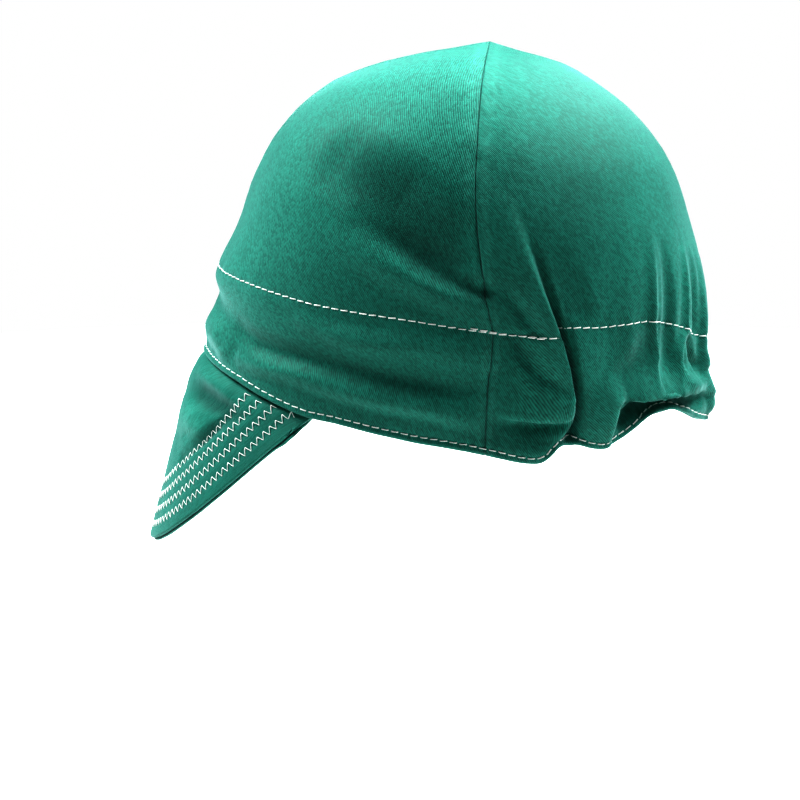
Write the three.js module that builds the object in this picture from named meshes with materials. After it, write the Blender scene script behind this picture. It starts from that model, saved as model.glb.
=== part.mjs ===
// A welder's soft cotton cap with a short drooping peak, in the shape that it takes on a head.
// The shell is four sewn panels, with a seam over the top from ear to ear and one from front to back.
// A folded inner band faces the lower edge, and a two-ply peak hangs from the front of that edge.
// Sizes are in millimetres and angles in degrees. +Z is up, the peak points to -Y, the wearer's left is +X.
import * as THREE from 'three';

// Thickness of the layers and the gaps between them
const shellWall = 2;
const facingWall = 1.2;
const plyWall = 1.6;
const layerGap = 0.45;
const seamGap = 0.4;

// The shell's plan is an oval of this power, and its cloth is this long from the side edge to the top.
const ovalPower = 2.15;
const sideLength = 200;
const tipShort = 0.9;
const seamPinch = { depth: 0.7, halfWidth: 7 };

// The peak's root follows the lower edge to this turn on both sides, tucked up behind it.
// Its rim is half an oval from corner to corner through the tip, cut off by the blunt ends of the root.
const peak = { turn: 56, halfWidth: 65, cornerY: -63, cornerZ: 10, tipY: -132.5, tipZ: -54 };
const peakSwell = 4.5;
const peakTuck = 5;
const bluntTurn = 2.5;
const peakLength = 85;

// The plies lie against the shell at the root and take their own direction from this share of the way out.
const rootShare = 0.3;

// The facing gives way behind the tucked root, out to this turn and up to this height, and then eases back.
const giveWay = { turn: 57, turnFade: 15, up: 9, upFade: 16 };

// Stations of the mesh: turns between columns, and rows below and above the band line
const frontStep = 6;
const rearStep = 3.75;
const bandRows = 8;
const crownRows = 10;
const plyRows = 7;

// Distance around the cloth for each degree of turn, used to measure how far a place is from a fold
const roundPerTurn = 1.65;

// Half the stretch of turn and up over which the direction of a surface is measured
const feel = 0.4;

// Cross-sections of the shell, each at a distance up along the cloth of the side seam.
// A row says where its section crosses the front centre, the side seam and the rear centre.
const sections = [
  { up: 0, frontY: -107, frontZ: 27, sideX: 80, sideZ: 0, seamY: 6.5, rearY: 103.5, rearZ: 0 },
  { up: 22, frontY: -102, frontZ: 46, sideX: 84, sideZ: 23, seamY: 7, rearY: 101.5, rearZ: 16 },
  { up: 47, frontY: -101, frontZ: 61, sideX: 85, sideZ: 47, seamY: 6.5, rearY: 100.5, rearZ: 32 },
  { up: 72, frontY: -92, frontZ: 80, sideX: 86, sideZ: 71, seamY: 4, rearY: 99.5, rearZ: 56 },
  { up: 97, frontY: -84.5, frontZ: 100, sideX: 83.5, sideZ: 95, seamY: 2, rearY: 93.5, rearZ: 80 },
  { up: 122, frontY: -72.5, frontZ: 120.5, sideX: 75, sideZ: 117, seamY: 3, rearY: 84.5, rearZ: 104 },
  { up: 147, frontY: -52, frontZ: 137.3, sideX: 58, sideZ: 135, seamY: 5, rearY: 68, rearZ: 125.5 },
  { up: 172, frontY: -23, frontZ: 146.8, sideX: 33, sideZ: 147, seamY: 8, rearY: 43, rearZ: 142.5 },
  { up: sideLength, frontY: 11, frontZ: 152, sideX: 0, sideZ: 152, seamY: 11, rearY: 11, rearZ: 152 },
];
const crownTop = sections[sections.length - 1];

// The lower edge and the band's stitch line, as heights up the cloth at each turn from the front.
// The edge hangs below its first section beside the peak and behind the left ear, and arches up at the back.
const edgeLines = [
  { turn: -180, edge: 0, band: 47 },
  { turn: -165, edge: 1, band: 50 },
  { turn: -150, edge: 6, band: 55 },
  { turn: -136, edge: 10, band: 58 },
  { turn: -122, edge: 4, band: 56 },
  { turn: -108, edge: -1, band: 52 },
  { turn: -90, edge: -1, band: 47 },
  { turn: -76, edge: -3, band: 47 },
  { turn: -54, edge: -6, band: 47 },
  { turn: -31, edge: -2, band: 48 },
  { turn: 0, edge: 0, band: 47 },
  { turn: 31, edge: -2, band: 49 },
  { turn: 43, edge: -4.3, band: 48 },
  { turn: 54, edge: -6, band: 47 },
  { turn: 63, edge: -4.5, band: 47 },
  { turn: 76, edge: -3.2, band: 47.5 },
  { turn: 90, edge: -1.2, band: 47 },
  { turn: 97.5, edge: -3.8, band: 48 },
  { turn: 101.25, edge: -3.8, band: 49 },
  { turn: 105, edge: 2, band: 52 },
  { turn: 108.75, edge: 2.5, band: 54 },
  { turn: 115, edge: 0.5, band: 55 },
  { turn: 122, edge: 4, band: 57 },
  { turn: 130, edge: 12, band: 59 },
  { turn: 138, edge: 15, band: 58.5 },
  { turn: 146, edge: 11, band: 56.5 },
  { turn: 156, edge: 4, band: 52.5 },
  { turn: 168, edge: 0, band: 49 },
  { turn: 180, edge: 0, band: 47 },
];

// Folds in the cloth, each from one place on it to another, fading out over its half width.
// A positive reach is a ridge and a negative one a hollow. Lean carries it backwards over its neighbour.
const folds = [
  // Pleat behind the left side seam, the hollow it hangs over, and the crease under its pouch
  { fromTurn: 97, fromUp: 92, toTurn: 100, toUp: 62, reach: 1.5, lean: 0.5, halfWidth: 11 },
  { fromTurn: 99, fromUp: 60, toTurn: 102, toUp: 20, reach: 3.5, lean: 2.5, halfWidth: 11 },
  { fromTurn: 104, fromUp: 70, toTurn: 110, toUp: 22, reach: -3.5, lean: 0, halfWidth: 9 },
  { fromTurn: 93, fromUp: 12, toTurn: 108, toUp: 12, reach: -2, lean: 0, halfWidth: 6 },
  { fromTurn: 94, fromUp: 1, toTurn: 102, toUp: 0, reach: 3, lean: 1, halfWidth: 8 },
  // Broad column behind it, and the deep pocket that it hangs over
  { fromTurn: 113, fromUp: 52, toTurn: 115, toUp: 8, reach: 4, lean: 1.5, halfWidth: 11 },
  { fromTurn: 132, fromUp: 46, toTurn: 124, toUp: 14, reach: -5, lean: 0, halfWidth: 11 },
  // Overhanging roll low at the left back, with the hollow under it
  { fromTurn: 128, fromUp: 28, toTurn: 156, toUp: 27, reach: 3, lean: 0, halfWidth: 9 },
  { fromTurn: 126, fromUp: 15, toTurn: 158, toUp: 14, reach: -3, lean: 0, halfWidth: 8 },
  // Gathers that the drawn-in back throws upwards, from the left round to the right
  { fromTurn: 135, fromUp: 90, toTurn: 132, toUp: 48, reach: 2.5, lean: 0, halfWidth: 8 },
  { fromTurn: 141, fromUp: 76, toTurn: 140, toUp: 36, reach: -2.5, lean: 0, halfWidth: 8 },
  { fromTurn: 149, fromUp: 82, toTurn: 148, toUp: 40, reach: 2.5, lean: 0, halfWidth: 8 },
  { fromTurn: 157, fromUp: 76, toTurn: 158, toUp: 20, reach: -2.5, lean: 0, halfWidth: 9 },
  { fromTurn: 166, fromUp: 80, toTurn: 165, toUp: 10, reach: 2.5, lean: 0, halfWidth: 9 },
  { fromTurn: 175, fromUp: 70, toTurn: 174, toUp: 6, reach: -2.5, lean: 0, halfWidth: 9 },
  { fromTurn: -176, fromUp: 66, toTurn: -177, toUp: 4, reach: 2, lean: 0, halfWidth: 8 },
  { fromTurn: -167, fromUp: 74, toTurn: -166, toUp: 8, reach: -2.5, lean: 0, halfWidth: 8 },
  { fromTurn: -158, fromUp: 84, toTurn: -157, toUp: 12, reach: 3, lean: 0, halfWidth: 9 },
  { fromTurn: -148, fromUp: 76, toTurn: -147, toUp: 18, reach: -3.5, lean: 0, halfWidth: 9 },
  { fromTurn: -138, fromUp: 88, toTurn: -139, toUp: 14, reach: 3, lean: 0, halfWidth: 9 },
  { fromTurn: -128, fromUp: 72, toTurn: -129, toUp: 12, reach: -3.5, lean: 0, halfWidth: 10 },
  { fromTurn: -116, fromUp: 78, toTurn: -117, toUp: 6, reach: 3, lean: 0, halfWidth: 11 },
  { fromTurn: -105, fromUp: 64, toTurn: -106, toUp: 10, reach: -2.5, lean: 0, halfWidth: 9 },
  // Broad dents of the soft front panels and the drag lines that run from them to the side seams
  { fromTurn: 60, fromUp: 100, toTurn: 76, toUp: 88, reach: -3.5, lean: 0, halfWidth: 24 },
  { fromTurn: 57, fromUp: 74, toTurn: 86, toUp: 63, reach: 2, lean: 0, halfWidth: 11 },
  { fromTurn: -52, fromUp: 104, toTurn: -72, toUp: 92, reach: -3, lean: 0, halfWidth: 24 },
  { fromTurn: -50, fromUp: 72, toTurn: -84, toUp: 64, reach: 1.5, lean: 0, halfWidth: 11 },
  // Long hollow and roll along the front of the band
  { fromTurn: 22, fromUp: 20, toTurn: 82, toUp: 23, reach: -1.8, lean: 0, halfWidth: 9 },
  { fromTurn: 30, fromUp: 6, toTurn: 74, toUp: 7, reach: 1.5, lean: 0, halfWidth: 8 },
  { fromTurn: 76, fromUp: 36, toTurn: 88, toUp: 36, reach: 1.8, lean: 0, halfWidth: 11 },
  { fromTurn: -24, fromUp: 22, toTurn: -78, toUp: 24, reach: -1.5, lean: 0, halfWidth: 9 },
];

// The value at one place of a named column of a table, on a smooth curve through its rows
function columnAt(table, key, column, at) {
  let i = 0;
  while (i < table.length - 2 && at > table[i + 1][key]) i += 1;
  const here = table[i];
  const next = table[i + 1];
  const slope = (row) => {
    const before = table[Math.max(row - 1, 0)];
    const after = table[Math.min(row + 1, table.length - 1)];
    return (after[column] - before[column]) / (after[key] - before[key]);
  };
  const span = next[key] - here[key];
  const t = (at - here[key]) / span;
  const eased = t * t * (3 - 2 * t);
  const bend = t * (1 - t) * ((1 - t) * slope(i) - t * slope(i + 1)) * span;
  return here[column] + (next[column] - here[column]) * eased + bend;
}

// 1 inside a limit, easing to 0 over the fade beyond it
function fadeOut(value, limit, fade) {
  return 1 - THREE.MathUtils.smoothstep(value, limit, limit + fade);
}

// How high up the cloth an edge line lies at a turn
function lineUp(line, turn) {
  return columnAt(edgeLines, 'turn', line, turn);
}

// A difference of turns, taken the short way round
function shortestTurn(turn) {
  return THREE.MathUtils.euclideanModulo(turn + 180, 360) - 180;
}

// How far the folds push the cloth out and round at one place on it
function foldPush(turn, up) {
  const push = { out: 0, round: 0 };
  for (const fold of folds) {
    const alongTurn = (fold.toTurn - fold.fromTurn) * roundPerTurn;
    const alongUp = fold.toUp - fold.fromUp;
    const fromTurn = shortestTurn(turn - fold.fromTurn) * roundPerTurn;
    const fromUp = up - fold.fromUp;
    const length2 = alongTurn ** 2 + alongUp ** 2;
    const share = THREE.MathUtils.clamp((fromTurn * alongTurn + fromUp * alongUp) / length2, 0, 1);
    const away = Math.hypot(fromTurn - share * alongTurn, fromUp - share * alongUp) / fold.halfWidth;
    if (away < 1) {
      const strength = (1 - away * away) ** 2;
      push.out += fold.reach * strength;
      push.round += fold.lean * strength;
    }
  }
  return push;
}

// How far the nearest seam pulls the cloth in
function seamPull(turn, up) {
  const fromSeam = Math.abs(turn - 90 * Math.round(turn / 90));
  const away = (fromSeam * roundPerTurn * Math.max(sideLength - up, 1)) / sideLength;
  return seamPinch.depth * Math.max(1 - away / seamPinch.halfWidth, 0) ** 2;
}

// A point of the shell's outer face before its folds
function smoothPoint(turn, up) {
  const read = (column) => columnAt(sections, 'up', column, up);
  const angle = THREE.MathUtils.degToRad(turn);
  const across = Math.sign(Math.sin(angle)) * Math.abs(Math.sin(angle)) ** (2 / ovalPower);
  const along = Math.abs(Math.cos(angle)) ** (2 / ovalPower);
  const end = Math.cos(angle) > 0 ? 'front' : 'rear';
  return new THREE.Vector3(
    read('sideX') * across,
    read('seamY') + (read(`${end}Y`) - read('seamY')) * along,
    read('sideZ') + (read(`${end}Z`) - read('sideZ')) * along,
  );
}

// The way round, the way up and the way out of a surface that is given by turn and up
function directions(pointAt, turn, up) {
  const round = pointAt(turn + feel, up).sub(pointAt(turn - feel, up)).normalize();
  const rise = pointAt(turn, up + feel).sub(pointAt(turn, up - feel)).normalize();
  return { round, out: round.clone().cross(rise).normalize() };
}

// A point of the shell's outer face with its folds
function clothPoint(turn, up) {
  const { round, out } = directions(smoothPoint, turn, up);
  const push = foldPush(turn, up);
  return smoothPoint(turn, up)
    .addScaledVector(out, push.out - seamPull(turn, up))
    .addScaledVector(round, push.round);
}

// A point at a depth below the shell's outer face
function layerPoint(turn, up, depth) {
  return clothPoint(turn, up).addScaledVector(directions(clothPoint, turn, up).out, -depth);
}

// A closed body between an outer and an inner sheet of points, with rows going up and columns to the left.
// A round sheet joins its last column to its first, and a tipped one ends in a single point.
function sheetBody({ rows, columns, round = false, tipped = false, pointAt }) {
  const positions = [];
  const vertices = [0, 1].map((side) => Array.from({ length: rows + 1 }, (_, row) => {
    const single = tipped && row === rows;
    const count = single ? 1 : columns + (round ? 0 : 1);
    const line = Array.from({ length: count }, (_, column) => {
      const point = pointAt(row, single ? columns / 2 : column, side);
      return positions.push(point.x, point.y, point.z) / 3 - 1;
    });
    return (column) => line[single ? 0 : column % line.length];
  }));
  const triangles = [];
  const quad = (a, b, c, d) => {
    for (const triangle of [[a, b, c], [a, c, d]]) {
      if (new Set(triangle).size === 3) triangles.push(...triangle);
    }
  };
  const [outer, inner] = vertices;
  for (let column = 0; column < columns; column += 1) {
    for (let row = 0; row < rows; row += 1) {
      quad(outer[row](column), outer[row](column + 1), outer[row + 1](column + 1), outer[row + 1](column));
      quad(inner[row](column), inner[row + 1](column), inner[row + 1](column + 1), inner[row](column + 1));
    }
    quad(outer[0](column + 1), outer[0](column), inner[0](column), inner[0](column + 1));
    quad(outer[rows](column), outer[rows](column + 1), inner[rows](column + 1), inner[rows](column));
  }
  for (let row = 0; row < rows && !round; row += 1) {
    quad(outer[row](0), outer[row + 1](0), inner[row + 1](0), inner[row](0));
    quad(outer[row + 1](columns), outer[row](columns), inner[row](columns), inner[row + 1](columns));
  }
  const geometry = new THREE.BufferGeometry();
  geometry.setAttribute('position', new THREE.Float32BufferAttribute(positions, 3));
  geometry.setIndex(triangles);
  geometry.computeVertexNormals();
  return geometry;
}

// The height up the cloth of a station: rows run evenly to the band line, then on to the top.
function stationUp(row, turn) {
  const edge = lineUp('edge', turn);
  const band = lineUp('band', turn);
  if (row <= bandRows) return edge + ((band - edge) * row) / bandRows;
  return band + ((sideLength - tipShort - band) * (row - bandRows)) / crownRows;
}

// One of the four crown panels, between two seams, from the lower edge to the top
function crownPanel(fromTurn, toTurn, step) {
  const columns = Math.round((toTurn - fromTurn) / step);
  const pointAt = (row, column, side) => {
    const seamTurn = fromTurn + column * step;
    const up = stationUp(row, seamTurn);
    const perTurn = smoothPoint(seamTurn + 1, up).distanceTo(smoothPoint(seamTurn - 1, up)) / 2;
    const atSeam = (column === 0 ? 1 : 0) - (column === columns ? 1 : 0);
    return layerPoint(seamTurn + (atSeam * seamGap) / 2 / perTurn, up, side * shellWall);
  };
  return sheetBody({ rows: bandRows + crownRows, columns, tipped: true, pointAt });
}

// The turns of the columns all the way round, as the panels have them
function ringTurns() {
  const turns = [];
  for (let turn = -180; turn < 180; turn += turn >= -90 && turn < 90 ? frontStep : rearStep) {
    turns.push(turn);
  }
  return turns;
}

// The facing: a folded band inside the lower edge, up to the stitch line.
// It gives way to both plies behind the peak's root.
function facingRing() {
  const turns = ringTurns();
  const behindRoot = 2 * (plyWall + layerGap);
  const pointAt = (row, column, side) => {
    const turn = turns[column];
    const up = stationUp(row, turn);
    const give = fadeOut(Math.abs(turn), giveWay.turn, giveWay.turnFade)
      * fadeOut(up - lineUp('edge', turn), giveWay.up, giveWay.upFade);
    return layerPoint(turn, up, shellWall + layerGap + behindRoot * give + side * facingWall);
  };
  return sheetBody({ rows: bandRows, columns: turns.length, round: true, pointAt });
}

// A point of the peak's top face, from its root at the lower edge (out 0) to its rim (out 1)
function peakPoint(turn, out) {
  const root = layerPoint(turn, lineUp('edge', turn), shellWall + layerGap);
  const sweep = THREE.MathUtils.degToRad((90 * turn) / (peak.turn + bluntTurn));
  const rim = new THREE.Vector3(
    peak.halfWidth * Math.sin(sweep),
    peak.cornerY + (peak.tipY - peak.cornerY) * Math.cos(sweep),
    peak.cornerZ + (peak.tipZ - peak.cornerZ) * Math.cos(sweep),
  );
  const swell = 4 * peakSwell * out * (1 - out) * Math.cos(sweep);
  const ahead = new THREE.Vector3(Math.sin(sweep), -Math.cos(sweep), 0);
  return root.lerp(rim, out).addScaledVector(ahead, swell);
}

// One ply of the peak, at a depth below its top face
function peakPly(depth) {
  const inside = Math.ceil(peak.turn / frontStep) - 1;
  const turns = [-peak.turn];
  for (let column = -inside; column <= inside; column += 1) turns.push(column * frontStep);
  turns.push(peak.turn);
  const pointAt = (row, column, side) => {
    const turn = turns[column];
    const below = depth + side * plyWall;
    if (row > plyRows) {
      return layerPoint(turn, lineUp('edge', turn) + peakTuck, shellWall + layerGap + below);
    }
    const out = 1 - row / plyRows;
    const inTurn = THREE.MathUtils.clamp(turn, bluntTurn - peak.turn, peak.turn - bluntTurn);
    const shellOut = directions(clothPoint, turn, lineUp('edge', turn)).out;
    const plyOut = directions((atTurn, rise) => peakPoint(atTurn, out - rise / peakLength), inTurn, 0).out;
    const normal = shellOut.lerp(plyOut, THREE.MathUtils.smoothstep(out, 0, rootShare)).normalize();
    return peakPoint(turn, out).addScaledVector(normal, -below);
  };
  return sheetBody({ rows: plyRows + 1, columns: turns.length - 1, pointAt });
}

// A cloth piece with its name and colour
function clothPiece(name, geometry, colour) {
  const material = new THREE.MeshStandardMaterial({ color: colour, roughness: 0.75, metalness: 0 });
  const mesh = new THREE.Mesh(geometry, material);
  mesh.name = name;
  return mesh;
}

const shellGreen = 0x2a9a83;
const facingGreen = 0x237f6d;
const peakGreen = 0x2f9f88;

// The origin is inside the crown's top, where the head carries the cap.
const cap = new THREE.Group();
cap.position.set(0, -crownTop.seamY, shellWall - crownTop.sideZ);
cap.add(
  clothPiece('crown_front_left', crownPanel(0, 90, frontStep), shellGreen),
  clothPiece('crown_front_right', crownPanel(-90, 0, frontStep), shellGreen),
  clothPiece('crown_rear_left', crownPanel(90, 180, rearStep), shellGreen),
  clothPiece('crown_rear_right', crownPanel(-180, -90, rearStep), shellGreen),
  clothPiece('band_facing', facingRing(), facingGreen),
  clothPiece('peak_upper_ply', peakPly(0), peakGreen),
  clothPiece('peak_lower_ply', peakPly(plyWall + layerGap), peakGreen),
);

export default cap;
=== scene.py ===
import math
from collections import namedtuple
import bmesh
import bpy
import numpy as np
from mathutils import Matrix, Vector, kdtree, noise


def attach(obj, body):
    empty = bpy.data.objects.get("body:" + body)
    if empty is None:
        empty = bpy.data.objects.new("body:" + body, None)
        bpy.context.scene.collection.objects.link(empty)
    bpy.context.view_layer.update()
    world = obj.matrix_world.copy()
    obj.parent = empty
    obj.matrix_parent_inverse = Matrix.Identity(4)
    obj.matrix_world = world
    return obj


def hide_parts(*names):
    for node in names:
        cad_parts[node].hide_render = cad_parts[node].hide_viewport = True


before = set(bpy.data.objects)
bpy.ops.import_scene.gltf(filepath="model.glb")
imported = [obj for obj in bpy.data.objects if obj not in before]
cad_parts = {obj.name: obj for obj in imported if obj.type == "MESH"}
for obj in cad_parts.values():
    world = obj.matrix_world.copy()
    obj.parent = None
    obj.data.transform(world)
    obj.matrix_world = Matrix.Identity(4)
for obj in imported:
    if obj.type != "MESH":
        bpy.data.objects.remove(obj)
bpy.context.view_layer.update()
bpy.ops.object.select_all(action="DESELECT")

# Camera
# It stands level with the wearer's left side, a little above the cap, and looks down at it.
CAMERA_PLACE = Vector((0.6847, -0.0364, -0.0008))
CAMERA_AIM = Vector((0, -0.0364, -0.1463))
bpy.ops.object.camera_add(location=CAMERA_PLACE)
camera = bpy.context.object
camera.rotation_euler = (CAMERA_AIM - CAMERA_PLACE).to_track_quat("-Z", "Y").to_euler()
camera.data.sensor_width = 36
camera.data.lens = 74.34
bpy.context.scene.camera = camera

# Floor
# A round table of pale paper stands under the cap. It looks white out to its rim, where the lamps no
# longer reach, so that it runs into the white room behind it. From below it isn't seen.
FLOOR_HEIGHT = -0.34
FLOOR_RADIUS = 1.4
GLOW_RADIUS = 0.9


def add_node(tree, kind, settings=None, inputs=None):
    """Adds a node to a tree, with its settings, and its inputs as values or as links"""
    node = tree.nodes.new(kind)
    for name, value in (settings or {}).items():
        setattr(node, name, value)
    for name, value in (inputs or {}).items():
        if isinstance(value, bpy.types.NodeSocket):
            tree.links.new(value, node.inputs[name])
        else:
            node.inputs[name].default_value = value
    return node


bpy.ops.mesh.primitive_circle_add(vertices=128, radius=FLOOR_RADIUS, fill_type="NGON",
                                  location=(0, 0, FLOOR_HEIGHT))
floor = bpy.context.object
floor.name = "floor"
paper_look = bpy.data.materials.new("pale_paper")
paper_look.use_nodes = True
paper = paper_look.node_tree
paper_surface = paper.nodes["Principled BSDF"]
paper_surface.inputs["Base Color"].default_value = (0.8, 0.8, 0.79, 1)
paper_surface.inputs["Roughness"].default_value = 0.9
paper_surface.inputs["Specular IOR Level"].default_value = 0.2
paper_surface.inputs["Emission Strength"].default_value = 1
paper_place = add_node(paper, "ShaderNodeTexCoord")
paper_reach = add_node(paper, "ShaderNodeVectorMath", {"operation": "LENGTH"},
                       {0: paper_place.outputs["Object"]})
paper_glow = add_node(paper, "ShaderNodeMapRange", None,
                      {"Value": paper_reach.outputs["Value"], "From Max": GLOW_RADIUS, "To Min": 0.45})
paper_paths = add_node(paper, "ShaderNodeLightPath")
paper_seen = add_node(paper, "ShaderNodeMath", {"operation": "MULTIPLY"},
                      {0: paper_glow.outputs["Result"], 1: paper_paths.outputs["Is Camera Ray"]})
paper.links.new(paper_seen.outputs["Value"], paper_surface.inputs["Emission Color"])
paper_side = add_node(paper, "ShaderNodeNewGeometry")
paper_clear = add_node(paper, "ShaderNodeBsdfTransparent")
paper_sides = add_node(paper, "ShaderNodeMixShader", None,
                       {"Fac": paper_side.outputs["Backfacing"], 1: paper_surface.outputs["BSDF"],
                        2: paper_clear.outputs["BSDF"]})
paper.links.new(paper_sides.outputs["Shader"], paper.nodes["Material Output"].inputs["Surface"])
floor.data.materials.append(paper_look)

# Lights
# Soft lights hang over the front and the back of the cap and behind it, so its near side falls in
# shade. The room looks white, but it gives the cap hardly any light.
Lamp = namedtuple("Lamp", "name place aim size power")
LAMPS = [
    Lamp("over_front", (0, -0.62, 0.65), (0, -0.01, -0.08), 0.5, 22),
    Lamp("over_back", (0, 0.6, 0.65), (0, -0.01, -0.08), 0.5, 20),
    Lamp("behind_top", (-0.25, -0.01, 0.84), (0, -0.01, -0.08), 0.5, 5),
    Lamp("behind_back", (-0.43, 0.42, 0.65), (0, -0.01, -0.08), 0.5, 5),
]
for lamp in LAMPS:
    bpy.ops.object.light_add(type="AREA", location=lamp.place)
    light = bpy.context.object
    light.name = f"light_{lamp.name}"
    light.data.size = lamp.size
    light.data.energy = lamp.power
    light.rotation_euler = (Vector(lamp.aim) - Vector(lamp.place)).to_track_quat("-Z", "Y").to_euler()
room = bpy.data.worlds.new("white_room")
bpy.context.scene.world = room
room.use_nodes = True
room_light = room.node_tree.nodes["Background"]
room_light.inputs["Color"].default_value = (1, 1, 1, 1)
room_paths = add_node(room.node_tree, "ShaderNodeLightPath")
room_strength = add_node(room.node_tree, "ShaderNodeMapRange", None,
                         {"Value": room_paths.outputs["Is Camera Ray"], "To Min": 0.015})
room.node_tree.links.new(room_strength.outputs["Result"], room_light.inputs["Strength"])
bpy.context.scene.view_settings.view_transform = "Standard"
bpy.context.scene.view_settings.gamma = 0.64

# Crown panels
# Four gores of soft green cotton sateen make the shell. They are sewn right sides together, with the
# seam allowances pressed open inside, and their lower edges are turned up for the hem.

# Sizes are in millimetres. Turn is the angle round the head in degrees, from the front to the
# wearer's left, and up is the distance up the cloth from the lower edge at the side seam.
MM = 0.001
CAP_PLACE = np.array([0, -11, -150])
CLOTH = 0.7
SEAM_ROLL = 0.8
SEAM_LAP = 10
SEAM_PINCH = 0.7
SEAM_PINCH_REACH = 7
SEAM_PINCH_FADE = (182, 198)
HEM_ROLL = 0.95
HEM_TURN_UP = 9
HEM_STITCH = 3
STITCH_PITCH = 3.8
FURROW_WIDTH = 1.2
PUCKER_WIDTH = 6
PUCKER_FADE = (165, 190)
GATHER_TURN = (104, 128)
GATHER_FADE = (-10, 55)
OVAL_POWER = 2.15
TOP_UP = 200
LAST_ROW_UP = TOP_UP - 0.05
ROUND_PER_TURN = 1.65
FEEL = 0.4
FEEL_LIMIT = TOP_UP - 0.02

# Cross-sections of the shell: where each crosses the front centre, the side seam and the rear centre
Section = namedtuple("Section", "up front_y front_z side_x side_z seam_y rear_y rear_z")
SECTIONS = [
    Section(0, -107, 27, 80, 0, 6.5, 103.5, 0),
    Section(22, -102, 46, 84, 23, 7, 101.5, 16),
    Section(47, -101, 61, 85, 47, 6.5, 100.5, 32),
    Section(72, -92, 80, 86, 71, 4, 99.5, 56),
    Section(97, -84.5, 100, 83.5, 95, 2, 93.5, 80),
    Section(122, -72.5, 120.5, 75, 117, 3, 84.5, 104),
    Section(147, -52, 137.3, 58, 135, 5, 68, 125.5),
    Section(172, -23, 146.8, 33, 147, 8, 43, 142.5),
    Section(TOP_UP, 11, 152, 0, 152, 11, 11, 152),
]

# Heights up the cloth of the lower edge and of the band's stitch line, round the head
EdgeLine = namedtuple("EdgeLine", "turn edge band")
EDGE_LINES = [
    EdgeLine(-180, 0, 47), EdgeLine(-165, 1, 50), EdgeLine(-150, 6, 55), EdgeLine(-136, 10, 58),
    EdgeLine(-122, 4, 56), EdgeLine(-108, -1, 52), EdgeLine(-90, -1, 47), EdgeLine(-76, -3, 47),
    EdgeLine(-54, -6, 47), EdgeLine(-31, -2, 48), EdgeLine(0, 0, 49.5), EdgeLine(31, -2, 49),
    EdgeLine(43, -4.3, 48), EdgeLine(54, -6, 47), EdgeLine(63, -4.5, 47), EdgeLine(76, -3.2, 47.5),
    EdgeLine(90, -1.2, 47), EdgeLine(97.5, -3.8, 48), EdgeLine(101.25, -3.8, 49),
    EdgeLine(105, 2, 52), EdgeLine(108.75, 2.5, 54), EdgeLine(115, 0.5, 55), EdgeLine(122, 4, 57),
    EdgeLine(130, 12, 59), EdgeLine(138, 15, 58.5), EdgeLine(146, 11, 56.5), EdgeLine(156, 4, 52.5),
    EdgeLine(168, 0, 49), EdgeLine(180, 0, 47),
]

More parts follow.
